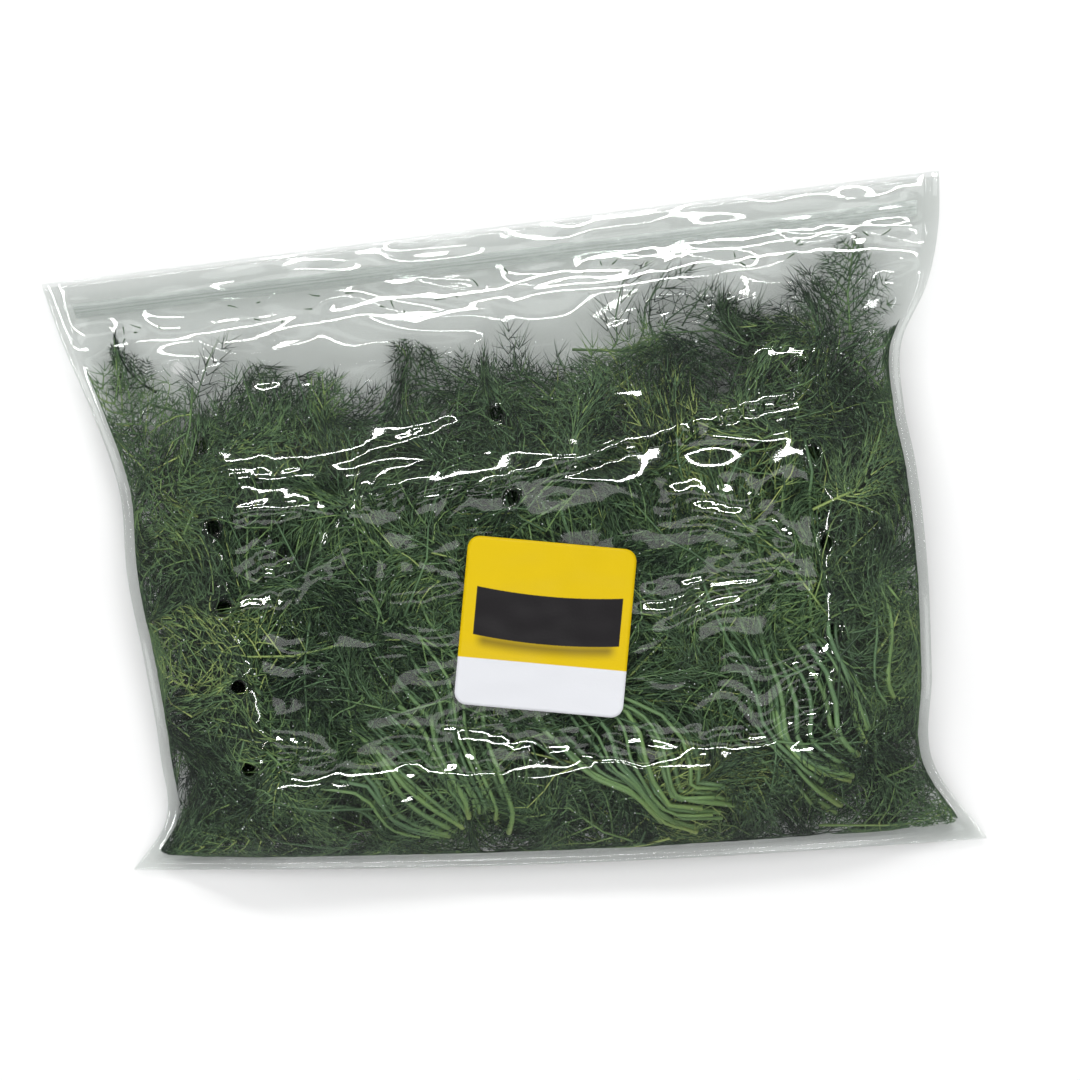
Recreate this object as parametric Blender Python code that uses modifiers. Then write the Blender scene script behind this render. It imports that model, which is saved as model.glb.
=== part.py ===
"""A reclosable film bag packed with a pound of dill, lying on its back.

Metres, +Z up. X runs across the bag, Y from its bottom weld to its zip, and the
origin is on the surface under the middle of the bag's outline.

The bag is described in its own panel coordinates: u from its left weld (0) to its
right weld (1), v from its bottom weld (0) to its lip (1). plan() turns them into a
place on the table, front_z() and back_z() into the height of the two panels. The
dill is packed in layers between the panels. In each layer three bunches lie side by
side, and each bunch is shared out between sprigs that fan from the cut ends to the
tips.
"""

import math

import bmesh
import bpy
import numpy as np

# The bag
FILM = 0.0008  # panel wall
WELD = 0.004  # flat weld margin along the sides and the bottom
PANEL_GAP = 0.00015  # half the gap that the two panels keep at the welds
DEPTH = 0.068  # height of the full bag's crown
SIDE_SHOULDER = 0.052  # how far in from a side weld the bag reaches its full depth
FOOT_SHOULDER = 0.048  # the same, from the bottom weld
TAPER_FROM, TAPER_TO = 0.54, 0.94  # v where the contents thin out towards the zip
BACK_LIFT_FROM = 0.74  # v where the back panel starts to leave the table
BACK_SPREAD = 1.35  # how much sooner the back reaches the table than the front its crown
SHOULDER_POWER = 0.8  # below 1 the shoulders rise more steeply from the welds
LUMP_BROAD, LUMP_FINE = 0.05, 0.03  # how far the dill's lumps raise and lower the crown
WELD_LOW = 0.004  # height of the side welds at both their ends
WELD_ARCH = 0.017  # how far they rise between them
FOOT_ARCH = 0.010  # how far the bottom weld rises between its corners
FOOT_SAG = 0.004  # how far the bottom weld bows down between its corners
# The outline: (v, x) down each side weld
LEFT_SIDE = (
    (0.0, -0.1740),
    (0.075, -0.1600),
    (0.20, -0.1615),
    (0.34, -0.1675),
    (0.50, -0.1760),
    (0.65, -0.1800),
    (0.78, -0.1925),
    (0.89, -0.2055),
    (1.0, -0.2165),
)
RIGHT_SIDE = (
    (0.0, 0.2165),
    (0.11, 0.1920),
    (0.25, 0.1905),
    (0.42, 0.1880),
    (0.56, 0.1830),
    (0.65, 0.1775),
    (0.74, 0.1765),
    (0.83, 0.1885),
    (0.92, 0.1940),
    (1.0, 0.1945),
)
LEFT_Y = (-0.160, 0.108)  # the left weld's lower and upper end
RIGHT_Y = (-0.1455, 0.160)  # the right weld's
# Where the panels are divided, closer together at the welds and the zip
COLUMNS = (0, 0.01, 0.02, 0.035, 0.055, 0.08, 0.11, 0.15, 0.20, 0.26, 0.33, 0.41, 0.5)
ROWS = (0, 0.015, 0.03, 0.05, 0.075, 0.11, 0.16, 0.22, 0.30, 0.38, 0.46, 0.54)
ROWS += (0.62, 0.70, 0.78, 0.85, 0.90, 0.93, 0.966, 1.0)

# Vent holes punched through both panels
VENT_R = 0.0032
VENT_PITCH = 0.133  # in v, about 38 mm
VENT_COLUMNS = ((0.118, 0.170, 6), (0.490, 0.170, 5), (0.870, 0.190, 5))  # u, lowest v, how many

# The zip: a strip with a headed rib on the front panel, one with two jaws on the back
ZIP_V = 0.948
ZIP_GAP = 0.0017  # half the gap that the zip holds between the panels
ZIP_ENDS = (0.025, 0.975)
ZIP_STATIONS = 12
RIB_PROFILE = ((-3.5, 1.4), (-3.5, 0.9), (-0.4, 0.9), (-0.4, 0.1), (-0.7, -0.1), (-0.7, -0.4))
RIB_PROFILE += ((0.7, -0.4), (0.7, -0.1), (0.4, 0.1), (0.4, 0.9), (3.5, 0.9), (3.5, 1.4))
JAW_PROFILE = ((-3.5, -1.4), (3.5, -1.4), (3.5, -0.9), (1.7, -0.9), (1.7, 0.6), (0.75, 0.6))
JAW_PROFILE += ((0.75, 0.25), (1.05, 0.25), (1.05, -0.9), (-1.05, -0.9), (-1.05, 0.25))
JAW_PROFILE += ((-0.75, 0.25), (-0.75, 0.6), (-1.7, 0.6), (-1.7, -0.9), (-3.5, -0.9))
MM = 0.001
BAG_LENGTH = 0.29  # from the bottom weld to the lip

# The sticker on the front panel
LABEL_SIDE = 0.076
LABEL_THICK = 0.0005
LABEL_CORNER = 0.006
LABEL_CENTRE = (0.0143, -0.0480)
LABEL_TURN = math.radians(-5.2)
LABEL_CELLS = 12
LABEL_LIFT = 0.0010  # clears the flat faces that the panel is made of

# The dill
LAYERS = 4
CLEAR = 0.0024  # between the panels and the nearest layer
LAYER_SHARE = 0.40  # half a layer's height that its sprigs take up
LANE_SHARE = 0.84  # half a lane's width that its sprig takes up
STALK_R = (0.0023, 0.0011)  # at the cut end and near the tip
SIDES = 8  # round a sprig
STATIONS = 12  # along a sprig
# Each bunch: its name, how many sprigs lie side by side in one layer, its two edges
# from the cut ends to the tips in (u, v), and how far its middle bows past them there
BUNCHES = (
    (
        "left",
        4,
        ((0.335, 0.05), (0.27, 0.085), (0.17, 0.095), (0.09, 0.075), (0.035, 0.055)),
        ((0.445, 0.055), (0.425, 0.22), (0.395, 0.42), (0.375, 0.60), (0.365, 0.765)),
        (-0.115, 0.37),
    ),
    (
        "middle",
        3,
        ((0.655, 0.05), (0.545, 0.135), (0.455, 0.34), (0.405, 0.56), (0.390, 0.755)),
        ((0.75, 0.05), (0.645, 0.215), (0.60, 0.42), (0.625, 0.62), (0.66, 0.80)),
        (0.0, 0.015),
    ),
    (
        "right",
        3,
        ((0.845, 0.05), (0.765, 0.15), (0.70, 0.33), (0.665, 0.56), (0.685, 0.82)),
        ((0.955, 0.21), (0.935, 0.27), (0.938, 0.42), (0.952, 0.62), (0.955, 0.82)),
        (0.0, 0.012),
    ),
)


def smooth_step(low, high, x):
    """0 below low, 1 above high, and a smooth rise between them."""
    t = np.clip((x - low) / (high - low), 0.0, 1.0)
    return t * t * (3.0 - 2.0 * t)


def through(knots, at):
    """A smooth curve through (position, value) knots, read at one or more positions."""
    places = np.array([knot[0] for knot in knots], float)
    values = np.array([knot[1] for knot in knots], float)
    slopes = np.gradient(values, places, axis=0)
    at = np.clip(at, places[0], places[-1])
    i = np.clip(np.searchsorted(places, at, side="right") - 1, 0, len(places) - 2)
    span = places[i + 1] - places[i]
    t = (at - places[i]) / span
    if values.ndim > 1:
        span = np.expand_dims(span, -1)
        t = np.expand_dims(t, -1)
    start = (1 + 2 * t) * (1 - t) ** 2 * values[i] + t * (1 - t) ** 2 * span * slopes[i]
    end = t * t * (3 - 2 * t) * values[i + 1] + t * t * (t - 1) * span * slopes[i + 1]
    return start + end


def plan(u, v):
    """(x, y) of a place on the panels."""
    left_x = through(LEFT_SIDE, v)
    right_x = through(RIGHT_SIDE, v)
    left_y = LEFT_Y[0] + (LEFT_Y[1] - LEFT_Y[0]) * v
    right_y = RIGHT_Y[0] + (RIGHT_Y[1] - RIGHT_Y[0]) * v
    sag = FOOT_SAG * np.sin(np.pi * u) * (1.0 - smooth_step(0.0, 0.2, v))
    return left_x + (right_x - left_x) * u, left_y + (right_y - left_y) * u - sag


def panel_uv(x, y):
    """The (u, v) that plan() puts at (x, y)."""
    u = np.full_like(x, 0.5)
    v = np.full_like(y, 0.5)
    for _ in range(12):
        low = plan(u, np.zeros_like(v))[1]
        high = plan(u, np.ones_like(v))[1]
        sag = plan(u, v)[1] - (low + (high - low) * v)
        v = np.clip((y - sag - low) / (high - low), 0.0, 1.0)
        left_x = through(LEFT_SIDE, v)
        u = np.clip((x - left_x) / (through(RIGHT_SIDE, v) - left_x), 0.0, 1.0)
    return u, v


def side_distance(u, v):
    """How far a place is from the nearer side weld."""
    width = through(RIGHT_SIDE, v) - through(LEFT_SIDE, v)
    return np.minimum(u, 1.0 - u) * width


def shoulder(distance, reach):
    """0 on the weld, rising steeply like a filled pillow's edge to 1 at its full depth."""
    t = np.clip((distance - WELD) / reach, 0.0, 1.0)
    return np.sin(0.5 * np.pi * t) ** SHOULDER_POWER


def fullness(u, v, taper_from):
    """0 where the panels lie on each other, 1 where the dill holds them fully apart."""
    foot = shoulder(v * (RIGHT_Y[1] - RIGHT_Y[0]), FOOT_SHOULDER)
    taper = 1.0 - smooth_step(taper_from, TAPER_TO, v)
    return shoulder(side_distance(u, v), SIDE_SHOULDER) * foot * taper


def weld_z(u, v):
    """Height at which the two panels meet."""
    middle = WELD_ARCH * np.sin(np.pi * v) ** 0.9
    foot = FOOT_ARCH * np.sin(np.pi * u) * (1.0 - v) ** 8
    return WELD_LOW + middle + foot


def half_gap(u, v):
    """Half the gap between the panels that the welds and the zip give."""
    inside = smooth_step(0.0035, 0.0070, side_distance(u, v))
    return PANEL_GAP + (ZIP_GAP - PANEL_GAP) * inside * smooth_step(0.88, 0.93, v)


def front_z(u, v):
    """Height of the front panel's inner side."""
    broad = LUMP_BROAD * np.sin(7.0 * u + 1.2) * np.cos(6.0 * v)
    fine = LUMP_FINE * np.sin(13.0 * u - 9.0 * v)
    rise = (DEPTH * (1.0 + broad + fine) - weld_z(u, v)) * fullness(u, v, TAPER_FROM)
    return weld_z(u, v) + half_gap(u, v) + rise


def back_z(u, v):
    """Height of the back panel's inner side, which the table flattens."""
    drop = np.minimum(1.0, BACK_SPREAD * fullness(u, v, BACK_LIFT_FROM))
    low = weld_z(u, v) - half_gap(u, v)
    return low - (low - FILM) * drop


def surface(height, u, v):
    """Points on one panel."""
    x, y = plan(u, v)
    return np.stack([x, y, height(u, v)], axis=-1)


def material(name, colour, roughness, alpha=1.0):
    made = bpy.data.materials.new(name)
    made.use_nodes = True
    shader = made.node_tree.nodes["Principled BSDF"]
    shader.inputs["Base Color"].default_value = (*colour, 1.0)
    shader.inputs["Roughness"].default_value = roughness
    shader.inputs["Metallic"].default_value = 0.0
    shader.inputs["Alpha"].default_value = alpha
    made.diffuse_color = (*colour, alpha)
    return made


def add_object(name, mesh, finish, collection):
    mesh.materials.append(finish)
    made = bpy.data.objects.new(name, mesh)
    collection.objects.link(made)
    return made


def loft(name, rings):
    """A closed skin over rings of points, with both ends capped."""
    bm = bmesh.new()
    rows = [[bm.verts.new(point) for point in ring] for ring in rings]
    count = len(rows[0])
    for one, two in zip(rows, rows[1:]):
        for i in range(count):
            j = (i + 1) % count
            bm.faces.new((one[i], one[j], two[j], two[i]))
    bm.faces.new(rows[0][::-1])
    bm.faces.new(rows[-1])
    bmesh.ops.recalc_face_normals(bm, faces=bm.faces)
    mesh = bpy.data.meshes.new(name)
    bm.to_mesh(mesh)
    bm.free()
    return mesh


def grid(name, columns, rows, place, facing_down=False):
    """A grid of faces, each of whose points place() puts at its (column, row)."""
    bm = bmesh.new()
    bmesh.ops.create_grid(bm, x_segments=len(columns) - 1, y_segments=len(rows) - 1, size=1.0)
    for vert in bm.verts:
        i = round((vert.co.x + 1.0) / 2.0 * (len(columns) - 1))
        j = round((vert.co.y + 1.0) / 2.0 * (len(rows) - 1))
        vert.co = place(columns[i], rows[j])
    if facing_down:
        bmesh.ops.reverse_faces(bm, faces=bm.faces)
    mesh = bpy.data.meshes.new(name)
    bm.to_mesh(mesh)
    bm.free()
    return mesh


def thicken(obj, thickness):
    """Gives an open surface a wall on the side it faces."""
    wall = obj.modifiers.new("wall", "SOLIDIFY")
    wall.thickness = thickness
    wall.offset = 1.0
    wall.use_even_offset = False


def vent_cutter(collection):
    """Upright cylinders where the vent holes go through both panels."""
    bm = bmesh.new()
    for u, lowest, count in VENT_COLUMNS:
        for k in range(count):
            x, y = plan(np.float64(u), np.float64(lowest + VENT_PITCH * k))
            made = bmesh.ops.create_cone(
                bm, cap_ends=True, segments=10, radius1=VENT_R, radius2=VENT_R, depth=4 * DEPTH
            )
            bmesh.ops.translate(bm, verts=made["verts"], vec=(x, y, 0.0))
    mesh = bpy.data.meshes.new("vent_cutter")
    bm.to_mesh(mesh)
    bm.free()
    cutter = bpy.data.objects.new("vent_cutter", mesh)
    cutter.hide_render = True
    cutter.display_type = "WIRE"
    collection.objects.link(cutter)
    return cutter


def make_panel(name, height, facing_down, finish, cutter, collection):
    columns = list(COLUMNS) + [1.0 - u for u in COLUMNS[-2::-1]]
    mesh = grid(
        name,
        columns,
        ROWS,
        lambda u, v: surface(height, np.float64(u), np.float64(v)),
        facing_down,
    )
    panel = add_object(name, mesh, finish, collection)
    thicken(panel, FILM)
    holes = panel.modifiers.new("vents", "BOOLEAN")
    holes.operation = "DIFFERENCE"
    holes.object = cutter
    mesh.shade_smooth()
    return panel


def make_zip_strip(name, profile, finish, collection):
    """One half of the zip, swept along the bag between the panels."""
    rings = []
    for u in np.linspace(*ZIP_ENDS, ZIP_STATIONS):
        ring = []
        for across, up in profile:
            v = np.float64(ZIP_V + across * MM / BAG_LENGTH)
            ring.append((*plan(u, v), weld_z(u, v) + up * MM))
        rings.append(ring)
    return add_object(name, loft(name, rings), finish, collection)


def label_point(across, along):
    """A place on the sticker, which follows the front panel. Its corners are rounded."""
    half = LABEL_SIDE / 2
    x, y = across * half, along * half
    inner = half - LABEL_CORNER
    over = np.array([max(abs(x) - inner, 0.0), max(abs(y) - inner, 0.0)])
    if over.min() > 0.0:
        over *= over.max() / np.linalg.norm(over)
        x = math.copysign(inner + over[0], x)
        y = math.copysign(inner + over[1], y)
    turned_x = LABEL_CENTRE[0] + x * math.cos(LABEL_TURN) - y * math.sin(LABEL_TURN)
    turned_y = LABEL_CENTRE[1] + x * math.sin(LABEL_TURN) + y * math.cos(LABEL_TURN)
    u, v = panel_uv(np.float64(turned_x), np.float64(turned_y))
    return turned_x, turned_y, front_z(u, v) + FILM + LABEL_LIFT


def make_label(finish, collection):
    steps = np.linspace(-1.0, 1.0, LABEL_CELLS + 1)
    mesh = grid("label_sticker", steps, steps, label_point)
    label = add_object("label_sticker", mesh, finish, collection)
    thicken(label, LABEL_THICK)
    return label


def gate(edges, bow, share, along):
    """(u, v) of a place in a bunch: share runs from one edge to the other, along from cut to tip."""
    stops = np.linspace(0.0, 1.0, len(edges[0]))
    first = through(list(zip(stops, edges[0])), along)
    second = through(list(zip(stops, edges[1])), along)
    bulge = 4.0 * share * (1.0 - share) * along**2
    return first + (second - first) * share + np.array(bow) * bulge


def layer_height(layer, u, v):
    """(middle, height) of one layer of dill."""
    low = back_z(u, v) + CLEAR
    high = front_z(u, v) - CLEAR
    height = (high - low) / LAYERS
    return low + (layer + 0.5) * height, height


def sprig_rings(edges, bow, lanes, lane, layer):
    """Rings of points round a sprig: a round stalk that widens into its flattened leaves."""
    middle = (lane + 0.5) / lanes
    half_lane = 0.5 / lanes * LANE_SHARE
    phase = 1.9 * lane + 2.3 * layer
    rings = []
    for along in np.linspace(0.0, 1.0, STATIONS):
        centre = np.array(plan(*gate(edges, bow, middle, along)))
        edge = np.array(plan(*gate(edges, bow, middle + half_lane, along)))
        reach = np.linalg.norm(edge - centre)
        leafy = smooth_step(0.16, 0.46, along) * (1.0 - 0.55 * smooth_step(0.80, 1.0, along))
        leafy *= 0.88 + 0.12 * math.sin(31.0 * along + phase)
        stalk = STALK_R[0] + (STALK_R[1] - STALK_R[0]) * along
        wide = min(1.0, max(stalk / reach, leafy))
        ring = []
        for i in range(SIDES):
            angle = 2.0 * math.pi * (i + 0.5) / SIDES
            u, v = gate(edges, bow, middle + half_lane * wide * math.cos(angle), along)
            x, y = plan(u, v)
            z, height = layer_height(layer, u, v)
            thick = min(LAYER_SHARE * height, stalk + LAYER_SHARE * height * leafy)
            ring.append((x, y, z + thick * math.sin(angle)))
        rings.append(ring)
    return rings


def make_sprigs(finish, collection):
    for bunch, lanes, *edges, bow in BUNCHES:
        for layer in range(LAYERS):
            for lane in range(lanes):
                name = f"sprig_{bunch}_{layer + 1}_{lane + 1}"
                mesh = loft(name, sprig_rings(edges, bow, lanes, lane, layer))
                mesh.shade_smooth()
                add_object(name, mesh, finish, collection)


def clear_scene():
    for obj in list(bpy.data.objects):
        bpy.data.objects.remove(obj)


def new_collection(name):
    made = bpy.data.collections.new(name)
    bpy.context.scene.collection.children.link(made)
    return made


def main():
    clear_scene()
    parts = new_collection("bagged_dill")
    cutters = new_collection("cutters")
    cutters.hide_render = True
    film = material("bag_film", (0.86, 0.88, 0.87), 0.12, 0.25)
    zip_film = material("zip_strip", (0.90, 0.92, 0.92), 0.25, 0.55)
    paper = material("label_paper", (0.86, 0.66, 0.02), 0.35)
    leaf = material("dill_leaf", (0.055, 0.135, 0.045), 0.6)
    cutter = vent_cutter(cutters)
    make_panel("bag_front_panel", front_z, False, film, cutter, parts)
    make_panel("bag_back_panel", back_z, True, film, cutter, parts)
    make_zip_strip("zip_rib_strip", RIB_PROFILE, zip_film, parts)
    make_zip_strip("zip_groove_strip", JAW_PROFILE, zip_film, parts)
    make_label(paper, parts)
    make_sprigs(leaf, parts)


main()
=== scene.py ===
"""The finish of a clear reclosable bag packed with fresh dill, lying on its back.

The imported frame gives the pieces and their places. Each operator below makes one piece,
or one group of like pieces, and the stage. Lengths are in metres, +X runs across the bag,
+Y from its bottom weld to its zip, and +Z up out of its front panel.

The bag is described in panel coordinates: u from its left weld (0) to its right weld (1),
v from its bottom weld (0) to its lip (1). The dill lies in layers between the panels, and
in each layer three bunches lie side by side, shared out between sprigs that fan from their
cut ends to their tips.
"""

import math

import bmesh
import bpy
import numpy as np
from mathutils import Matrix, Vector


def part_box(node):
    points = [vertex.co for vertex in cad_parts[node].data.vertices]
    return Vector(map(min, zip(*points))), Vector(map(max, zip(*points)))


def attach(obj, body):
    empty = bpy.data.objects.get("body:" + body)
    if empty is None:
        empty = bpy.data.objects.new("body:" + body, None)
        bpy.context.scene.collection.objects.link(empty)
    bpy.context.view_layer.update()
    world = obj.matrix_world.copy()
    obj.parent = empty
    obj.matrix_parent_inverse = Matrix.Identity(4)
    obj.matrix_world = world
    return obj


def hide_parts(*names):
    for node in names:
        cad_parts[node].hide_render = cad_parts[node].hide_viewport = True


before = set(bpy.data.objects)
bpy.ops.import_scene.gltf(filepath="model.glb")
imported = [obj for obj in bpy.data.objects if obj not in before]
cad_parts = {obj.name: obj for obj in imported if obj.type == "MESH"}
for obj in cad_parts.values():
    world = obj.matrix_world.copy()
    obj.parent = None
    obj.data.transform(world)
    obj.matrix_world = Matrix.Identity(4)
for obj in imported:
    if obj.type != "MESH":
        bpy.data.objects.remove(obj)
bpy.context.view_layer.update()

bl_info = {
    "name": "Bagged Dill",
    "version": (1, 0, 0),
    "blender": (4, 5, 0),
    "location": "3D View > Sidebar > Bagged Dill",
    "description": "Makes the film, zip, sticker and sprigs of a bag of fresh dill",
    "category": "Add Mesh",
}

BODY = "root"
MM = 0.001

# The outline: (v, x) down each side weld, and the y of each weld's ends
LEFT_SIDE = (
    (0.0, -0.1740),
    (0.075, -0.1600),
    (0.20, -0.1615),
    (0.34, -0.1675),
    (0.50, -0.1760),
    (0.65, -0.1800),
    (0.78, -0.1925),
    (0.89, -0.2055),
    (1.0, -0.2165),
)
RIGHT_SIDE = (
    (0.0, 0.2165),
    (0.11, 0.1920),
    (0.25, 0.1905),
    (0.42, 0.1880),
    (0.56, 0.1830),
    (0.65, 0.1775),
    (0.74, 0.1765),
    (0.83, 0.1885),
    (0.92, 0.1940),
    (1.0, 0.1945),
)
LEFT_Y = (-0.160, 0.108)
RIGHT_Y = (-0.1455, 0.160)
FOOT_SAG = 0.004

# The depth of the filled bag
DEPTH = 0.068
SIDE_SHOULDER = 0.052
FOOT_SHOULDER = 0.048
SHOULDER_POWER = 0.8
TAPER_FROM, TAPER_TO = 0.54, 0.94
BACK_LIFT_FROM = 0.74
BACK_SPREAD = 1.35
WELD = 0.004
WELD_LOW = 0.004
WELD_ARCH = 0.017
FOOT_ARCH = 0.010
PANEL_GAP = 0.00015
ZIP_GAP = 0.0017
LUMP_BROAD, LUMP_FINE = 0.05, 0.03
TABLE_GAP = 0.0008

# Vent holes: u, lowest v, how many
VENT_R = 0.0032
VENT_PITCH = 0.133
VENT_COLUMNS = ((0.118, 0.170, 6), (0.490, 0.170, 5), (0.870, 0.190, 5))
ZIP_V = 0.948

# Bunches: name, sprigs side by side, the two edges from cut ends to tips, the tips' bow
BUNCHES = (
    (
        "left",
        4,
        ((0.335, 0.05), (0.27, 0.085), (0.17, 0.095), (0.09, 0.075), (0.035, 0.055)),
        ((0.445, 0.055), (0.425, 0.22), (0.395, 0.42), (0.375, 0.60), (0.365, 0.765)),
        (-0.115, 0.37),
    ),
    (
        "middle",
        3,
        ((0.655, 0.05), (0.545, 0.135), (0.455, 0.34), (0.405, 0.56), (0.390, 0.755)),
        ((0.75, 0.05), (0.645, 0.215), (0.60, 0.42), (0.625, 0.62), (0.66, 0.80)),
        (0.0, 0.015),
    ),
    (
        "right",
        3,
        ((0.845, 0.05), (0.765, 0.15), (0.70, 0.33), (0.665, 0.56), (0.685, 0.82)),
        ((0.955, 0.21), (0.935, 0.27), (0.938, 0.42), (0.952, 0.62), (0.955, 0.82)),
        (0.0, 0.012),
    ),
)
LAYERS = 4
CREST = (
    (0.0, 0.89),
    (0.06, 0.895),
    (0.16, 0.87),
    (0.26, 0.82),
    (0.36, 0.775),
    (0.48, 0.80),
    (0.57, 0.785),
    (0.66, 0.83),
    (0.78, 0.86),
    (0.90, 0.855),
    (1.0, 0.82),
)

# Folds that stand up from the front panel, flat on top with steep flanks: the fold's line
# in millimetres, half its width and its height in millimetres
FOLDS = (
    (((-72, 9), (-10, 24), (60, 43), (133, 62)), 9.0, 2.7),
    (((-144, -36), (-107, -30), (-84, -18), (-71, 8)), 6.0, 1.2),
    (((-166, -35), (-108, -12)), 5.0, 0.9),
    (((-168, -60), (-128, -72)), 5.0, 0.9),
    (((-76, -29), (-24, -27)), 7.0, 1.1),
    (((105, 80), (162, 87)), 7.0, 1.1),
    (((7, 77), (39, 90), (85, 100), (117, 109), (126, 120)), 3.0, 1.0),
    (((-6, 118), (74, 120), (154, 132), (188, 140)), 2.5, 0.7),
    (((128, -80), (178, -38)), 10.0, 1.2),
    (((48, -96), (112, -102), (144, -84)), 4.5, 1.0),
    (((172, -137), (186, -112)), 4.0, 1.0),
    (((-52, -108), (-4, -116)), 4.0, 1.0),
    (((-66, -127), (-31, -133)), 3.5, 0.9),
    (((46, -37), (85, -29)), 5.0, 1.0),
    (((69, 13), (101, 9), (126, -11)), 5.0, 0.9),
    (((-138, 0), (-96, 7)), 4.0, 0.9),
    (((-30, -92), (20, -98), (60, -112)), 5.0, 1.0),
    (((-150, 70), (-90, 66), (-30, 74)), 6.0, 0.8),
    (((-150, 30), (-95, 34), (-20, 52)), 9.0, 0.8),
    (((-120, -100), (-80, -106)), 4.0, 0.8),
    (((90, -20), (150, -22)), 7.0, 0.8),
)


# The lights: compass heading and height in degrees, width, depth, brightness, and whether
# the film mirrors them
LIGHT_DISTANCE = 1.8
LIGHTS = (
    (80, 55, 0.90, 0.08, 44.0, True),
    (102, 35, 0.60, 0.06, 36.0, True),
    (-85, 58, 0.90, 0.08, 40.0, True),
    (-100, 38, 0.60, 0.06, 32.0, True),
    (170, 48, 0.50, 0.05, 16.0, True),
    (10, 45, 0.50, 0.05, 16.0, True),
    (88, 74, 1.20, 0.35, 1.3, True),
    (-90, 76, 1.10, 0.30, 1.1, True),
    (150, 52, 0.70, 0.70, 5.6, False),
    (12, 60, 0.70, 0.70, 4.0, False),
)


def smooth_step(low, high, x):
    t = np.clip((x - low) / (high - low), 0.0, 1.0)
    return t * t * (3.0 - 2.0 * t)


def through(knots, at):
    """A smooth curve through (position, value) knots, read at one or more positions."""
    places = np.array([knot[0] for knot in knots], float)
    values = np.array([knot[1] for knot in knots], float)
    slopes = np.gradient(values, places, axis=0)
    at = np.clip(at, places[0], places[-1])
    i = np.clip(np.searchsorted(places, at, side="right") - 1, 0, len(places) - 2)
    span = places[i + 1] - places[i]
    t = (at - places[i]) / span
    if values.ndim > 1:
        span = np.expand_dims(span, -1)
        t = np.expand_dims(t, -1)
    start = (1 + 2 * t) * (1 - t) ** 2 * values[i] + t * (1 - t) ** 2 * span * slopes[i]
    end = t * t * (3 - 2 * t) * values[i + 1] + t * t * (t - 1) * span * slopes[i + 1]
    return start + end


def plan(u, v):
    """(x, y) of a place on the panels."""
    left_x = through(LEFT_SIDE, v)
    right_x = through(RIGHT_SIDE, v)
    left_y = LEFT_Y[0] + (LEFT_Y[1] - LEFT_Y[0]) * v
    right_y = RIGHT_Y[0] + (RIGHT_Y[1] - RIGHT_Y[0]) * v
    sag = FOOT_SAG * np.sin(np.pi * u) * (1.0 - smooth_step(0.0, 0.2, v))
    return left_x + (right_x - left_x) * u, left_y + (right_y - left_y) * u - sag


def panel_uv(x, y):
    """The (u, v) that plan() puts at (x, y)."""
    u = np.full_like(x, 0.5)
    v = np.full_like(y, 0.5)
    for _ in range(7):
        low = LEFT_Y[0] + (RIGHT_Y[0] - LEFT_Y[0]) * u
        high = LEFT_Y[1] + (RIGHT_Y[1] - LEFT_Y[1]) * u
        sag = FOOT_SAG * np.sin(np.pi * u) * (1.0 - smooth_step(0.0, 0.2, v))
        v = np.clip((y + sag - low) / (high - low), 0.0, 1.0)
        left_x = through(LEFT_SIDE, v)
        u = np.clip((x - left_x) / (through(RIGHT_SIDE, v) - left_x), 0.0, 1.0)
    return u, v


def unbounded_uv(x, y):
    """(u, v) of one place, which may lie outside the bag."""
    span = (through(RIGHT_SIDE, np.float64(0.5)), through(LEFT_SIDE, np.float64(0.5)))
    u = (x - span[1]) / (span[0] - span[1])
    low = LEFT_Y[0] + (RIGHT_Y[0] - LEFT_Y[0]) * u
    v = (y - low) / (LEFT_Y[1] + (RIGHT_Y[1] - LEFT_Y[1]) * u - low)
    left_x = through(LEFT_SIDE, np.float64(v))
    return (x - left_x) / (through(RIGHT_SIDE, np.float64(v)) - left_x), v


def side_distance(u, v):
    width = through(RIGHT_SIDE, v) - through(LEFT_SIDE, v)
    return np.minimum(u, 1.0 - u) * width


def shoulder(distance, reach):
    t = np.clip((distance - WELD) / reach, 0.0, 1.0)
    return np.sin(0.5 * np.pi * t) ** SHOULDER_POWER


def fullness(u, v, taper_from):
    """0 where the panels lie on each other, 1 where the dill holds them fully apart."""
    foot = shoulder(v * (RIGHT_Y[1] - RIGHT_Y[0]), FOOT_SHOULDER)
    taper = 1.0 - smooth_step(taper_from, TAPER_TO, v)
    return shoulder(side_distance(u, v), SIDE_SHOULDER) * foot * taper


def weld_z(u, v):
    """Height at which the two panels meet."""
    middle = WELD_ARCH * np.sin(np.pi * v) ** 0.9
    foot = FOOT_ARCH * np.sin(np.pi * u) * (1.0 - v) ** 8
    return WELD_LOW + middle + foot


def half_gap(u, v):
    """Half the gap that the zip holds open between the panels."""
    inside = smooth_step(0.0035, 0.0070, side_distance(u, v))
    return PANEL_GAP + (ZIP_GAP - PANEL_GAP) * inside * smooth_step(0.88, 0.93, v)


def front_z(u, v):
    """Height of the front panel's inner side, before its folds."""
    broad = LUMP_BROAD * np.sin(7.0 * u + 1.2) * np.cos(6.0 * v)
    fine = LUMP_FINE * np.sin(13.0 * u - 9.0 * v)
    rise = (DEPTH * (1.0 + broad + fine) - weld_z(u, v)) * fullness(u, v, TAPER_FROM)
    return weld_z(u, v) + half_gap(u, v) + rise


def back_z(u, v):
    """Height of the back panel's inner side, which the table flattens."""
    drop = np.minimum(1.0, BACK_SPREAD * fullness(u, v, BACK_LIFT_FROM))
    low = weld_z(u, v) - half_gap(u, v)
    return low - (low - TABLE_GAP) * drop


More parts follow.
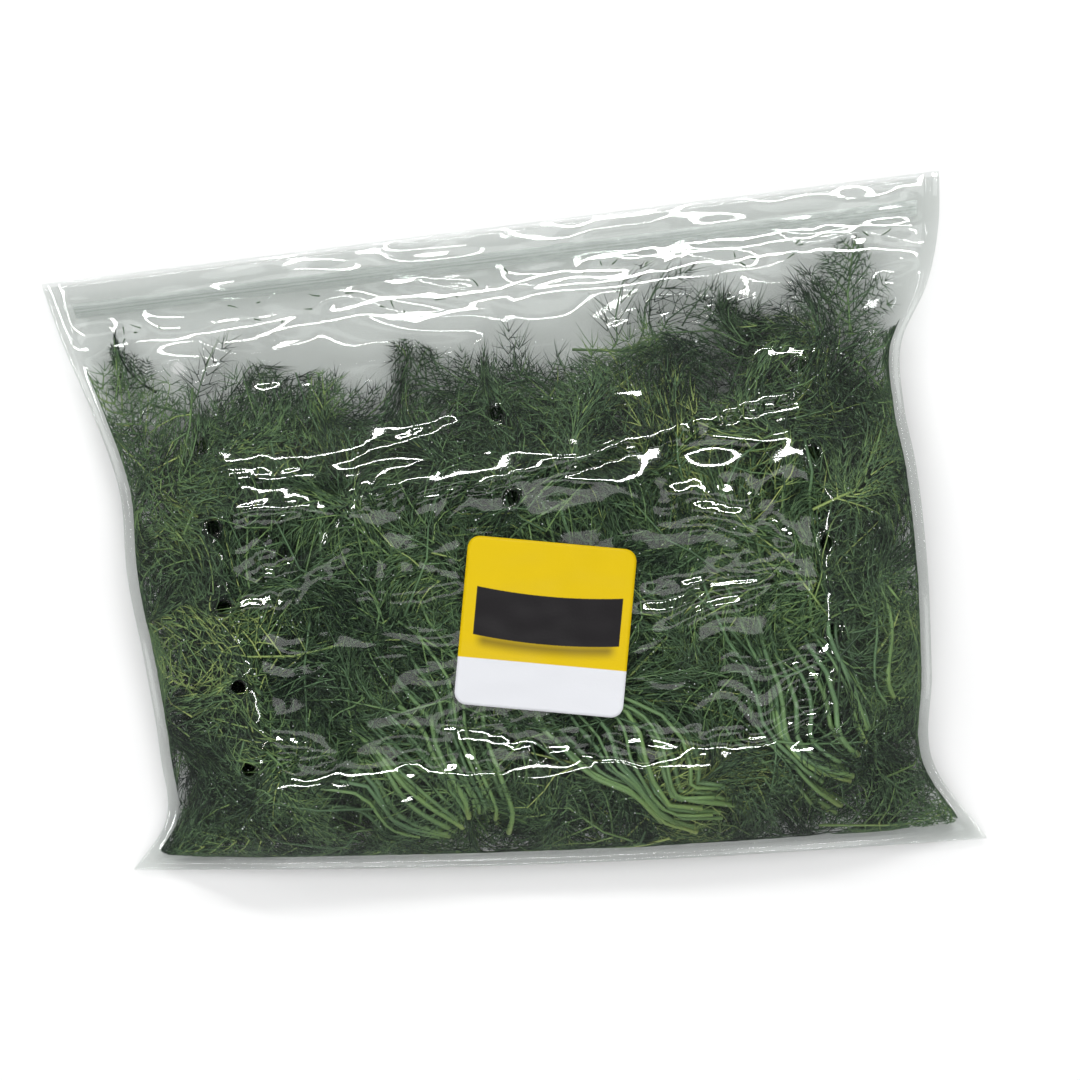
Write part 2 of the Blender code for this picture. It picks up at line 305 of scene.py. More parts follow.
def ripple(x, y, reach_x, reach_y, seed, count=18):
    """A smooth random surface about 0, whose bumps measure about reach_x by reach_y."""
    random = np.random.default_rng(seed)
    total = np.zeros_like(x)
    for _ in range(count):
        heading = random.uniform(0.0, 2.0 * math.pi)
        pitch = random.uniform(0.6, 1.5) * 2.0 * math.pi
        across = math.cos(heading) * x / reach_x + math.sin(heading) * y / reach_y
        total += np.cos(pitch * across + random.uniform(0.0, 2.0 * math.pi))
    return total / math.sqrt(count / 2.0)


def along_line(x, y, line):
    """How far (x, y) is from a line of points, and how far along the line it is, 0 to 1."""
    points = np.array(line, float)
    steps = np.linalg.norm(np.diff(points, axis=0), axis=1)
    reached = np.concatenate(([0.0], np.cumsum(steps)))
    nearest = np.full_like(x, 1e9)
    share = np.zeros_like(x)
    for i in range(len(steps)):
        run = points[i + 1] - points[i]
        t = ((x - points[i][0]) * run[0] + (y - points[i][1]) * run[1]) / steps[i] ** 2
        t = np.clip(t, 0.0, 1.0)
        gap = np.hypot(x - points[i][0] - t * run[0], y - points[i][1] - t * run[1])
        closer = gap < nearest
        nearest = np.where(closer, gap, nearest)
        share = np.where(closer, (reached[i] + t * steps[i]) / reached[-1], share)
    return nearest, share


# ------------------------------------------------------------------ settings


def metres(name, description, default):
    return bpy.props.FloatProperty(
        name=name, description=description, default=default, unit="LENGTH"
    )


def paint(name, description, default):
    return bpy.props.FloatVectorProperty(
        name=name, description=description, default=default, subtype="COLOR"
    )


class FilmSettings(bpy.types.PropertyGroup):
    wall: metres("Wall", "Thickness of the film", 0.00012)
    crease: metres("Crease", "Height of the film's random creases", 0.0006)
    fold_scale: bpy.props.FloatProperty(
        name="Folds", description="Scales the height of the large folds", default=1.0
    )
    cells: bpy.props.IntProperty(
        name="Cells", description="Divisions across the bag", default=215, min=40
    )
    tint: paint("Tint", "Light that passes one side of the film", (0.955, 0.962, 0.957))


class LabelSettings(bpy.types.PropertyGroup):
    side: metres("Side", "Side of the square sticker", 0.076)
    turn: bpy.props.FloatProperty(
        name="Turn", description="Turn on the bag", default=math.radians(-5.2), subtype="ANGLE"
    )
    yellow: paint("Yellow", "The sticker's upper field", (0.66, 0.46, 0.001))
    white: paint("White", "The sticker's lower field", (0.68, 0.69, 0.72))
    banner: paint("Banner", "The plain dark banner", (0.008, 0.007, 0.008))


class DillSettings(bpy.types.PropertyGroup):
    stalk: metres("Stalk", "Radius of a stalk at its cut end", 0.0015)
    thread: metres("Thread", "Radius of a leaf thread", 0.00029)
    frond: metres("Frond", "Length of a leaf", 0.105)
    # The dark leaf colour is near black: painted shade for the gaps deep among the leaves.
    dark: paint("Dark leaf", "The darkest leaves", (0.009, 0.024, 0.013))
    light: paint("Light leaf", "The lightest leaves", (0.125, 0.225, 0.108))
    stem: paint("Stalk colour", "The stalks", (0.21, 0.34, 0.115))
    cut: paint("Cut end", "Cut ends and the youngest leaves", (0.44, 0.54, 0.17))


class StageSettings(bpy.types.PropertyGroup):
    floor: paint("Floor", "Colour of the floor", (0.92, 0.92, 0.92))
    height: metres("Camera height", "Camera above the table", 3.2)
    span: metres("Span", "Width of the view at the bag", 0.4919)


# ------------------------------------------------------------------ materials


class Signal:
    """A number that varies over a surface. Operators on it add Math nodes."""

    def __init__(self, finish, socket):
        self.finish = finish
        self.socket = socket

    def _math(self, operation, first, second):
        made = self.finish.node("ShaderNodeMath", {"operation": operation}, {0: first, 1: second})
        return Signal(self.finish, made.outputs[0])

    def __add__(self, other):
        return self._math("ADD", self, other)

    def __sub__(self, other):
        return self._math("SUBTRACT", self, other)

    def __mul__(self, other):
        return self._math("MULTIPLY", self, other)

    def __truediv__(self, other):
        return self._math("DIVIDE", self, other)

    def __pow__(self, other):
        return self._math("POWER", self, other)

    def __radd__(self, other):
        return self._math("ADD", other, self)

    def __rsub__(self, other):
        return self._math("SUBTRACT", other, self)

    def __rmul__(self, other):
        return self._math("MULTIPLY", other, self)

    def within(self, half, softness):
        """1 where the signal is less than half away from 0, blended over softness."""
        made = self.finish.node("ShaderNodeMath", {"operation": "ABSOLUTE"}, {0: self})
        return 1.0 - Signal(self.finish, made.outputs[0]).above(half, softness)

    def above(self, edge, softness):
        """0 below edge, 1 above it, blended over softness."""
        made = self.finish.node(
            "ShaderNodeMapRange",
            {"interpolation_type": "SMOOTHSTEP"},
            {0: self, 1: edge - softness / 2, 2: edge + softness / 2},
        )
        return Signal(self.finish, made.outputs[0])


class Finish:
    """A material, built node by node."""

    def __init__(self, name):
        self.material = bpy.data.materials.new(name)
        self.material.use_nodes = True
        self.tree = self.material.node_tree
        self.tree.nodes.clear()
        self.place = self.node("ShaderNodeTexCoord").outputs["Object"]

    def node(self, kind, settings=None, values=None):
        made = self.tree.nodes.new(kind)
        for name, value in (settings or {}).items():
            if name == "stops":
                self.set_stops(made.color_ramp, value)
            else:
                setattr(made, name, value)
        for key, value in (values or {}).items():
            source = value.socket if isinstance(value, Signal) else value
            if isinstance(source, bpy.types.NodeSocket):
                self.tree.links.new(source, made.inputs[key])
            else:
                made.inputs[key].default_value = source
        return made

    @staticmethod
    def set_stops(ramp, stops):
        while len(ramp.elements) < len(stops):
            ramp.elements.new(1.0)
        for element, (position, colour) in zip(ramp.elements, stops):
            element.position = position
            element.color = (*colour, 1.0)

    def noise(self, scale, detail=2.0, rough=0.5, place=None):
        made = self.node(
            "ShaderNodeTexNoise",
            values={
                "Vector": place or self.place,
                "Scale": scale,
                "Detail": detail,
                "Roughness": rough,
            },
        )
        return Signal(self, made.outputs[0])

    def attribute(self, name):
        made = self.node("ShaderNodeAttribute", {"attribute_name": name})
        return Signal(self, made.outputs["Fac"])

    def mix(self, share, first, second):
        """A blend of two colours."""
        values = {0: share, 6: self.colour(first), 7: self.colour(second)}
        return self.node("ShaderNodeMix", {"data_type": "RGBA"}, values).outputs[2]

    @staticmethod
    def colour(value):
        return value if isinstance(value, bpy.types.NodeSocket) else (*value, 1.0)

    def split(self, vector):
        made = self.node("ShaderNodeSeparateXYZ", values={0: vector})
        return [Signal(self, made.outputs[i]) for i in range(3)]

    def bump(self, height, strength, distance):
        made = self.node(
            "ShaderNodeBump", values={"Height": height, "Strength": strength, "Distance": distance}
        )
        return made.outputs[0]

    def finish(self, shader):
        self.node("ShaderNodeOutputMaterial", values={"Surface": shader.outputs[0]})
        return self.material


def film_material(name, tint, roughness, haze, crinkle):
    """Clear film: it lets light through, mirrors a little of it, and is faintly milky."""
    film = Finish(name)
    fine = film.noise(260.0, 3.0, 0.6)
    normal = film.bump(fine, crinkle, 0.0006)
    clear = film.node("ShaderNodeBsdfTransparent", values={"Color": (*tint, 1.0)})
    gloss = film.node(
        "ShaderNodeBsdfAnisotropic",
        values={"Color": (1.0, 1.0, 1.0, 1.0), "Roughness": roughness, "Normal": normal},
    )
    milk = film.node("ShaderNodeBsdfDiffuse", values={"Color": (0.86, 0.88, 0.87, 1.0)})
    facing = film.node("ShaderNodeLayerWeight", values={"Blend": 0.5, "Normal": normal})
    mirror = 0.040 + 0.4 * Signal(film, facing.outputs["Facing"]) ** 5.0
    cloud = film.noise(22.0, 4.0, 0.6).above(0.62, 0.22) * haze + haze * 0.35
    hazy = film.node("ShaderNodeMixShader", values={0: cloud, 1: clear.outputs[0], 2: milk.outputs[0]})
    skin = film.node("ShaderNodeMixShader", values={0: mirror, 1: hazy.outputs[0], 2: gloss.outputs[0]})
    return film.finish(skin)


def label_material(settings, centre, half):
    """Coated paper, yellow above and white below, with a plain dark banner across it."""
    paper = Finish("label_paper")
    placed = paper.node(
        "ShaderNodeMapping",
        {"vector_type": "TEXTURE"},
        {
            "Vector": paper.place,
            "Location": (centre[0], centre[1], 0.0),
            "Rotation": (0.0, 0.0, settings.turn),
            "Scale": (half, half, half),
        },
    )
    across, up, _ = paper.split(placed.outputs[0])
    white = 1.0 - up.above(-0.44, 0.012)
    bow = 0.07 * across * across
    edge = paper.noise(1400.0, 2.0) * 0.004
    middle = up - 0.075 - bow + edge
    banner = middle.within(0.285, 0.012) * (across - 0.02).within(0.865, 0.012)
    below = up + 0.26 - bow
    shade = below.within(0.06, 0.16) * (across - 0.02).within(0.80, 0.16)
    mottle = paper.noise(60.0, 3.0)
    yellow = paper.mix(mottle * 0.25, settings.yellow, [c * 0.84 for c in settings.yellow])
    field = paper.mix(white, yellow, settings.white)
    shaded = paper.mix(shade * 0.75, field, (0.10, 0.07, 0.01))
    ink = paper.mix(mottle, settings.banner, [c * 1.6 for c in settings.banner])
    face = paper.mix(banner, shaded, ink)
    grain = paper.noise(900.0, 2.0)
    shader = paper.node(
        "ShaderNodeBsdfPrincipled",
        values={
            "Base Color": face,
            "Roughness": 0.42 + 0.1 * mottle,
            "Normal": paper.bump(grain + paper.noise(70.0, 2.0) * 3.0, 0.25, 0.0002),
        },
    )
    shader.inputs["Specular IOR Level"].default_value = 0.22
    return paper.finish(shader)


def dill_material(settings):
    """Leaf threads and stalks. The shade attribute runs from dark leaves (0) to cut ends (1); its low end,
    with the near-black dark colour, is painted shade for the depth of the bunch.
    """
    leaf = Finish("dill_leaf")
    shade = leaf.attribute("shade")
    patches = leaf.noise(38.0, 3.0)
    fine = leaf.noise(700.0, 2.0)
    tone_and_depth_shade = shade + (patches - 0.5) * 0.50 + (fine - 0.5) * 0.22
    stops = (
        (0.0, settings.dark),
        (0.38, settings.light),
        (0.66, settings.stem),
        (0.95, settings.cut),
    )
    colours = leaf.node("ShaderNodeValToRGB", {"stops": stops}, {0: tone_and_depth_shade})
    shader = leaf.node(
        "ShaderNodeBsdfPrincipled",
        values={
            "Base Color": colours.outputs[0],
            "Roughness": 0.36 + 0.2 * patches,
            "Normal": leaf.bump(fine, 0.2, 0.0002),
        },
    )
    return leaf.finish(shader)


def droplet_material():
    drop = Finish("condensation")
    sparkle = drop.noise(3000.0, 1.0)
    shader = drop.node(
        "ShaderNodeBsdfPrincipled",
        values={"Base Color": (0.80, 0.84, 0.84, 1.0), "Roughness": 0.05 + 0.1 * sparkle},
    )
    shader.inputs["Specular IOR Level"].default_value = 1.0
    return drop.finish(shader)


def floor_material(colour):
    floor = Finish("floor_paper")
    grain = floor.noise(400.0, 2.0)
    shader = floor.node(
        "ShaderNodeBsdfPrincipled",
        values={
            "Base Color": floor.mix(grain * 0.1, colour, [c * 0.97 for c in colour]),
            "Roughness": 0.9,
        },
    )
    shader.inputs["Specular IOR Level"].default_value = 0.0
    return floor.finish(shader)


# ------------------------------------------------------------------ film


def label_distance(x, y):
    """How far a place is outside the sticker's edge, in metres; negative under it."""
    settings = bpy.context.scene.label_settings
    low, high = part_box("label_sticker")
    across, up = x - (low[0] + high[0]) / 2, y - (low[1] + high[1]) / 2
    turned_x = across * math.cos(settings.turn) + up * math.sin(settings.turn)
    turned_y = up * math.cos(settings.turn) - across * math.sin(settings.turn)
    return np.maximum(np.abs(turned_x), np.abs(turned_y)) - settings.side / 2


def film_relief(u, v):
    """How far the front panel's creases and folds stand up from its smooth shape."""
    settings = bpy.context.scene.film_settings
    x, y = plan(u, v)
    slant = math.radians(12.0)
    along = x * math.cos(slant) + y * math.sin(slant)
    across = y * math.cos(slant) - x * math.sin(slant)
    drift = 0.004 * ripple(x, y, 0.05, 0.05, 5)
    creases = 0.75 - np.abs(ripple(along, across + drift, 0.085, 0.030, 11))
    crumple = 0.6 - np.abs(ripple(x, y, 0.030, 0.022, 23))
    relief = settings.crease * (creases + 0.10 * crumple)
    relief += 0.00002 * ripple(x, y, 0.009, 0.007, 31)
    wander = 0.9 * MM * ripple(x, y, 0.012, 0.009, 41) + 0.5 * MM * ripple(x, y, 0.004, 0.004, 43)
    for line, half_width, height in FOLDS:
        distance, share = along_line(x, y, [(px * MM, py * MM) for px, py in line])
        reach = half_width * MM * np.sqrt(np.sin(np.pi * np.clip(share, 0.02, 0.98)))
        top = 1.0 - smooth_step(reach - 1.9 * MM, reach + 1.9 * MM, distance + wander)
        relief += settings.fold_scale * height * MM * top
    edge = side_distance(u, v)
    pucker = ripple(edge, y, 0.05, 0.016, 53, 10) * np.exp(-(((edge - 0.018) / 0.016) ** 2))
    relief += 0.0009 * pucker
    calm = smooth_step(0.004, 0.016, edge) * smooth_step(0.012, 0.05, v)
    calm *= 1.0 - 0.96 * np.exp(-(((v - ZIP_V) / 0.020) ** 2))
    calm *= 0.10 + 0.90 * smooth_step(-0.002, 0.006, label_distance(x, y))
    calm *= 1.0 - 0.55 * smooth_step(0.80, 0.90, v)
    return relief * calm


def back_relief(u, v):
    """The back panel's creases, which the table keeps shallow."""
    x, y = plan(u, v)
    off_table = smooth_step(TABLE_GAP, 0.006, back_z(u, v))
    creases = 0.0012 * (0.8 - np.abs(ripple(x, y, 0.07, 0.03, 61)))
    calm = smooth_step(0.004, 0.016, side_distance(u, v)) * smooth_step(0.012, 0.05, v)
    calm *= 1.0 - 0.96 * np.exp(-(((v - ZIP_V) / 0.020) ** 2))
    flat = 0.00025 * np.maximum(0.0, ripple(x, y, 0.03, 0.02, 67))
    return calm * (off_table * creases + (1.0 - off_table) * flat)


def vent_places():
    places = []
    for u, lowest, count in VENT_COLUMNS:
        for k in range(count):
            places.append(plan(np.float64(u), np.float64(lowest + VENT_PITCH * k)))
    return np.array(places)


def punch_vents(obj):
    """Takes the faces out of each vent hole and rounds the edge that is left."""
    bm = bmesh.new()
    bm.from_mesh(obj.data)
    doomed = set()
    centres = vent_places()
    for face in bm.faces:
        middle = face.calc_center_median()
        gaps = np.hypot(centres[:, 0] - middle.x, centres[:, 1] - middle.y)
        if gaps.min() < VENT_R:
            doomed.add(face)
    rim = {vert for face in doomed for vert in face.verts if not set(vert.link_faces) <= doomed}
    bmesh.ops.delete(bm, geom=list(doomed), context="FACES")
    for vert in rim:
        gaps = np.hypot(centres[:, 0] - vert.co.x, centres[:, 1] - vert.co.y)
        x, y = centres[gaps.argmin()]
        grown = VENT_R / gaps.min()
        vert.co.x = x + (vert.co.x - x) * grown
        vert.co.y = y + (vert.co.y - y) * grown
    bm.to_mesh(obj.data)
    bm.free()


def eased(count, ends):
    """Steps from 0 to 1 that lie closer together near both ends."""
    t = np.linspace(0.0, 1.0, count)
    return (1.0 - ends) * t + ends * (0.5 - 0.5 * np.cos(np.pi * t))


def deselect():
    for obj in bpy.context.selected_objects:
        obj.select_set(False)


def sheet_grid(name, columns, rows, place):
    """A grid primitive whose points place() moves to where they belong."""
    deselect()
    bpy.ops.mesh.primitive_grid_add(x_subdivisions=columns - 1, y_subdivisions=rows - 1, size=2.0)
    obj = bpy.context.object
    obj.name = obj.data.name = name
    flat = np.empty(len(obj.data.vertices) * 3, np.float32)
    obj.data.vertices.foreach_get("co", flat)
    flat = flat.reshape(-1, 3)
    i = np.rint((flat[:, 0] + 1.0) / 2.0 * (columns - 1)).astype(int)
    j = np.rint((flat[:, 1] + 1.0) / 2.0 * (rows - 1)).astype(int)
    obj.data.vertices.foreach_set("co", place(i, j).astype(np.float32).ravel())
    obj.data.update()
    return obj


def wall(obj, thickness):
    """Thickens a sheet on the side that it faces."""
    made = obj.modifiers.new("wall", "SOLIDIFY")
    made.thickness = thickness
    made.offset = 1.0
    made.use_even_offset = False
    bpy.context.view_layer.objects.active = obj
    bpy.ops.object.modifier_apply(modifier=made.name)
    obj.data.shade_smooth()


def film_panel(name, height, faces_down, lip):
    """One panel of the bag. lip is the highest v that it reaches."""
    settings = bpy.context.scene.film_settings
    columns = settings.cells
    rows = int(columns * 0.76)
    us = eased(columns, 0.35)
    vs = eased(rows, 0.35) * lip

    def place(i, j):
        u, v = us[i], vs[j]
        x, y = plan(u, v)
        return np.stack([x, y, height(u, v)], axis=-1)

    obj = sheet_grid(name, columns, rows, place)
    punch_vents(obj)
    if faces_down:
        obj.data.flip_normals()
    wall(obj, settings.wall)
    return obj


def finish_piece(obj, material, slot, *nodes):
    """Gives a piece its material and its place in the frame."""
    obj.data.materials.clear()
    obj.data.materials.append(material)
    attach(obj, BODY)
    if nodes:
        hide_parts(*nodes)


def front_film_z(u, v):
    """Height of the front film with its folds. Above the zip the lip curls up a little."""
    curl = 0.0030 * smooth_step(0.955, 1.0, v) * (0.6 + 0.4 * np.sin(9.0 * u + 1.0))
    return front_z(u, v) + film_relief(u, v) + curl


def back_film_z(u, v):
    return back_z(u, v) + back_relief(u, v)


class BAG_OT_film_panels(bpy.types.Operator):
    """Makes the front and back film panels with their vents, creases and folds"""

    bl_idname = "dill_bag.film_panels"
    bl_label = "Film Panels"

    def execute(self, context):
        settings = context.scene.film_settings
        film = film_material("bag_film", settings.tint, 0.05, 0.0025, 0.05)
        front = film_panel("front_film", front_film_z, False, 0.992)
        finish_piece(front, film, "bag_film", "bag_front_panel")
        back = film_panel("back_film", back_film_z, True, 1.0)
        finish_piece(back, film, "bag_film", "bag_back_panel")
        return {"FINISHED"}


class BAG_OT_zip_finish(bpy.types.Operator):
    """Gives the two halves of the zip their clear moulded finish"""

    bl_idname = "dill_bag.zip_finish"
    bl_label = "Zip"

    def execute(self, context):
        clear = film_material("zip_strip", (0.965, 0.972, 0.968), 0.16, 0.05, 0.2)
        for name in ("zip_rib_strip", "zip_groove_strip"):
            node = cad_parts[name]
            for slot in node.material_slots:
                slot.material = clear
        return {"FINISHED"}


# The sticker's corner radius, divisions, height over the film, unevenness and thickness
LABEL_CORNER = 0.0055
LABEL_CELLS = 49
LABEL_LIFT = 0.0006
LABEL_COCKLE = 0.00012
LABEL_THICK = 0.00018


class BAG_OT_label(bpy.types.Operator):
    """Makes the square sticker, which follows the film"""

    bl_idname = "dill_bag.label"
    bl_label = "Sticker"

    def execute(self, context):
        settings = context.scene.label_settings
        low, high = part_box("label_sticker")
        centre = ((low[0] + high[0]) / 2, (low[1] + high[1]) / 2)
        half = settings.side / 2
        corner = LABEL_CORNER
        cells = LABEL_CELLS

        def place(i, j):
            steps = np.linspace(-1.0, 1.0, cells)
            x, y = steps[i] * half, steps[j] * half
            over_x = np.maximum(np.abs(x) - (half - corner), 0.0)
            over_y = np.maximum(np.abs(y) - (half - corner), 0.0)
            reach = np.maximum(np.hypot(over_x, over_y), 1e-9)
            pull = np.where((over_x > 0) & (over_y > 0), np.maximum(over_x, over_y) / reach, 1.0)
            x = np.sign(x) * (np.minimum(np.abs(x), half - corner) + over_x * pull)
            y = np.sign(y) * (np.minimum(np.abs(y), half - corner) + over_y * pull)
            wx = centre[0] + x * math.cos(settings.turn) - y * math.sin(settings.turn)
            wy = centre[1] + x * math.sin(settings.turn) + y * math.cos(settings.turn)
            u, v = panel_uv(wx, wy)
            height = front_z(u, v) + film_relief(u, v) + LABEL_LIFT
            height += LABEL_COCKLE * ripple(wx, wy, 0.022, 0.016, 71)
            return np.stack([wx, wy, height], axis=-1)

        obj = sheet_grid("label_face", cells, cells, place)
        wall(obj, LABEL_THICK)
        finish_piece(obj, label_material(settings, centre, half), "label_paper", "label_sticker")
        return {"FINISHED"}


# ------------------------------------------------------------------ dill


def frond_pattern(random, length):
    """One leaf in its own plane, growing along +X: (ribs, threads), each a list of
    (start, heading, length, radius scale, tilt)."""
    ribs = [(np.zeros(3), 0.0, length, 1.0, 0.0)]
    threads = []

    def step(start, heading, reach, tilt):
        level = math.cos(tilt)
        run = (math.cos(heading) * level, math.sin(heading) * level, math.sin(tilt))
        return start + reach * np.array(run)

    for t in np.arange(0.20, 0.96, 0.105):
        for side in (-1, 1):
            at = min(t + random.uniform(-0.02, 0.02), 0.97)
            start = step(np.zeros(3), 0.0, length * at, 0.0)
            heading = side * math.radians(random.uniform(40, 62) * (1.15 - 0.6 * t))
            reach = length * (0.44 * (1.0 - at) ** 0.6 + 0.09) * random.uniform(0.8, 1.15)
            tilt = random.uniform(-0.35, 0.35)
            ribs.append((start, heading, reach, 0.62, tilt))
            for q in np.arange(0.18, 0.93, 0.0071 / reach):
                for hand in (-1, 1):
                    base = step(start, heading, reach * q, tilt)
                    aim = heading + hand * math.radians(random.uniform(32, 58))
                    stub = 0.30 * reach * (1.0 - q) + random.uniform(0.001, 0.004)
                    lean = tilt + random.uniform(-0.4, 0.4)
                    threads.append((base, aim, stub + 0.008, 1.0, lean))
                    fork = step(base, aim, stub * 0.55, lean)
                    for turn in (-1, 1):
                        angle = aim + turn * math.radians(random.uniform(16, 42))
                        tip = random.uniform(0.006, 0.013)
                        threads.append((fork, angle, tip, 0.9, lean + random.uniform(-0.3, 0.3)))
            end = step(start, heading, reach * 0.95, tilt)
            for turn in (-0.4, 0.0, 0.4):
                angle = heading + turn + random.uniform(-0.15, 0.15)
                threads.append((end, angle, random.uniform(0.008, 0.015), 1.0, tilt))
    return ribs, threads


def curved_paths(random, parts, points, wave):
    """Turns (start, heading, length, scale, tilt) into rows of points that bow sideways."""
    start = np.array([part[0] for part in parts])
    heading = np.array([part[1] for part in parts])
    length = np.array([part[2] for part in parts])
    scale = np.array([part[3] for part in parts])
    tilt = np.array([part[4] for part in parts])
    t = np.linspace(0.0, 1.0, points)[None, :]
    bow = random.normal(0.0, wave, len(parts))[:, None] * length[:, None]
    sideways = bow * t * t
    ahead = length[:, None] * t
    level = np.cos(tilt)[:, None]
    x = start[:, 0, None] + (np.cos(heading)[:, None] * ahead - np.sin(heading)[:, None] * sideways) * level
    y = start[:, 1, None] + (np.sin(heading)[:, None] * ahead + np.cos(heading)[:, None] * sideways) * level
    z = start[:, 2, None] + np.sin(tilt)[:, None] * ahead
    return np.stack([x, y, z], axis=-1), scale


def tube_mesh(paths, radii, sides, pointed):
    """(points, faces) of a closed tube along each row of paths. radii has one value a point."""
    rows, stops, _ = paths.shape
    ahead = np.gradient(paths, axis=1)
    ahead /= np.maximum(np.linalg.norm(ahead, axis=-1, keepdims=True), 1e-9)
    up = np.zeros_like(ahead)
    up[..., 2] = 1.0
    across = np.cross(ahead, up)
    across /= np.maximum(np.linalg.norm(across, axis=-1, keepdims=True), 1e-9)
    over = np.cross(across, ahead)
    angles = 2.0 * np.pi * np.arange(sides) / sides
    ring = (
        across[:, :, None, :] * np.cos(angles)[None, None, :, None]
        + over[:, :, None, :] * np.sin(angles)[None, None, :, None]
    )
    skin = paths[:, :, None, :] + ring * radii[:, :, None, None]
    rings = stops - 1 if pointed else stops
    skin = skin[:, :rings].reshape(rows, rings * sides, 3)
    if pointed:
        skin = np.concatenate([skin, paths[:, -1:, :]], axis=1)
    faces = []
    for k in range(rings - 1):
        for i in range(sides):
            j = (i + 1) % sides
            a, b = k * sides, (k + 1) * sides
            faces.append((a + i, b + i, b + j))
            faces.append((a + i, b + j, a + j))
    last = (rings - 1) * sides
    for i in range(sides):
        j = (i + 1) % sides
        if pointed:
            faces.append((last + i, rings * sides, last + j))
        elif 0 < i < sides - 1:
            faces.append((last, last + j, last + i))
        if 0 < i < sides - 1:
            faces.append((0, i, j))
    faces = np.array(faces)
    count = skin.shape[1]
    all_faces = (faces[None, :, :] + (np.arange(rows) * count)[:, None, None]).reshape(-1, 3)
    return skin.reshape(-1, 3), all_faces, count


def mesh_from(name, chunks):
    """One object from chunks of (points, faces, shade per point)."""
    points = np.concatenate([chunk[0] for chunk in chunks])
    shades = np.concatenate([chunk[2] for chunk in chunks])
    shift = np.cumsum([0] + [len(chunk[0]) for chunk in chunks[:-1]])
    faces = np.concatenate([chunk[1] + offset for chunk, offset in zip(chunks, shift)])
    mesh = bpy.data.meshes.new(name)
    mesh.vertices.add(len(points))
    mesh.vertices.foreach_set("co", points.astype(np.float32).ravel())
    mesh.loops.add(faces.size)
    mesh.loops.foreach_set("vertex_index", faces.astype(np.int32).ravel())
    mesh.polygons.add(len(faces))
    mesh.polygons.foreach_set("loop_start", np.arange(0, faces.size, 3, dtype=np.int32))
    mesh.update(calc_edges=True)
    mesh.shade_smooth()
    shade = mesh.attributes.new("shade", "FLOAT", "POINT")
    shade.data.foreach_set("value", shades.astype(np.float32))
    obj = bpy.data.objects.new(name, mesh)
    bpy.context.scene.collection.objects.link(obj)
    return obj


def gate(edges, bow, share, along):
    """(u, v) of a place in a bunch: share from edge to edge, along from cut to tip."""
    stops = np.linspace(0.0, 1.0, len(edges[0]))
    first = through(list(zip(stops, edges[0])), along)
    second = through(list(zip(stops, edges[1])), along)
    share, along = np.broadcast_arrays(share, along)
    bulge = 4.0 * share * (1.0 - share) * along**2
    return first + (second - first) * share[..., None] + np.array(bow) * bulge[..., None]


def soft_limit(value, low, high, soft):
    """Keeps a value between low and high, easing towards them over soft."""
    top = high - soft
    value = np.where(value > top, top + soft * (1.0 - np.exp(-(value - top) / soft)), value)
    bottom = low + soft
    return np.where(value < bottom, bottom - soft * (1.0 - np.exp((value - bottom) / soft)), value)


def into_bag(paths, middle, limits, clearance):
    """Bends rows of points, whose z counts from their layer's middle, into the bag."""
    x, y = paths[..., 0], paths[..., 1]
    sway = 0.0028
    sway_x, sway_y = (sway * ripple(x, y, 0.045, 0.045, seed) for seed in (83, 89))
    u, v = panel_uv(x + sway_x, y + sway_y)
    u = soft_limit(u, 0.012, 0.988, 0.014)
    v = soft_limit(v, 0.020, 0.925, 0.020)
    x, y = plan(u, v)
    low = back_z(u, v) + clearance
    high = front_z(u, v) + film_relief(u, v) - clearance
    gap = np.maximum(high - low, 0.0004)
    share = soft_limit(middle + paths[..., 2] / gap, limits[0], limits[1], 0.06)
    return np.stack([x, y, low + gap * share], axis=-1)


def clear_of_vents(paths):
    """Which rows of points keep out of the space under the vent holes."""
    keep = np.ones(len(paths), bool)
    for x, y in vent_places():
        gap = np.hypot(paths[..., 0] - x, paths[..., 1] - y).min(axis=1)
        keep &= gap > VENT_R + 0.0006
    return keep


# How many leaves each layer's sprigs have, from the back panel to the front, how many
# points along a thread, and which share of the bag's depth the layer may use
LAYER_BUILDS = (
    (7, 2, (0.01, 0.30)),
    (4, 2, (0.20, 0.60)),
    (8, 2, (0.45, 0.90)),
    (12, 3, (0.66, 0.995)),
)
# Each stalk's place across its lane, and how far up the bunch it reaches. The front layer's
# sprigs show all of them; a leaf grows from one of the first four
STALKS = (
    (0.0, 1.0),
    (-0.30, 0.80),
    (0.29, 0.86),
    (0.14, 0.66),
    (-0.46, 0.48),
    (0.45, 0.55),
    (-0.16, 0.40),
)
LEAFY_STALKS = 4
THREAD_CLEAR = 0.0005  # between the panels and any thread or stalk


# Where some sprigs' leaves crowd along the bag's edges: bunch and lane, then the lowest and
# highest u and v
CROWDED = {
    ("left", 1): ((0.03, 0.42), (0.03, 0.08)),
    ("left", 2): ((0.02, 0.08), (0.08, 0.42)),
    ("left", 3): ((0.02, 0.09), (0.36, 0.62)),
    ("left", 4): ((0.02, 0.12), (0.58, 0.82)),
    ("middle", 1): ((0.44, 0.62), (0.03, 0.09)),
    ("middle", 3): ((0.58, 0.76), (0.03, 0.08)),
    ("right", 1): ((0.80, 0.93), (0.04, 0.13)),
    ("right", 2): ((0.93, 0.975), (0.14, 0.46)),
    ("right", 3): ((0.92, 0.975), (0.42, 0.80)),
}
CROWD = (4, 2, 3, 4)


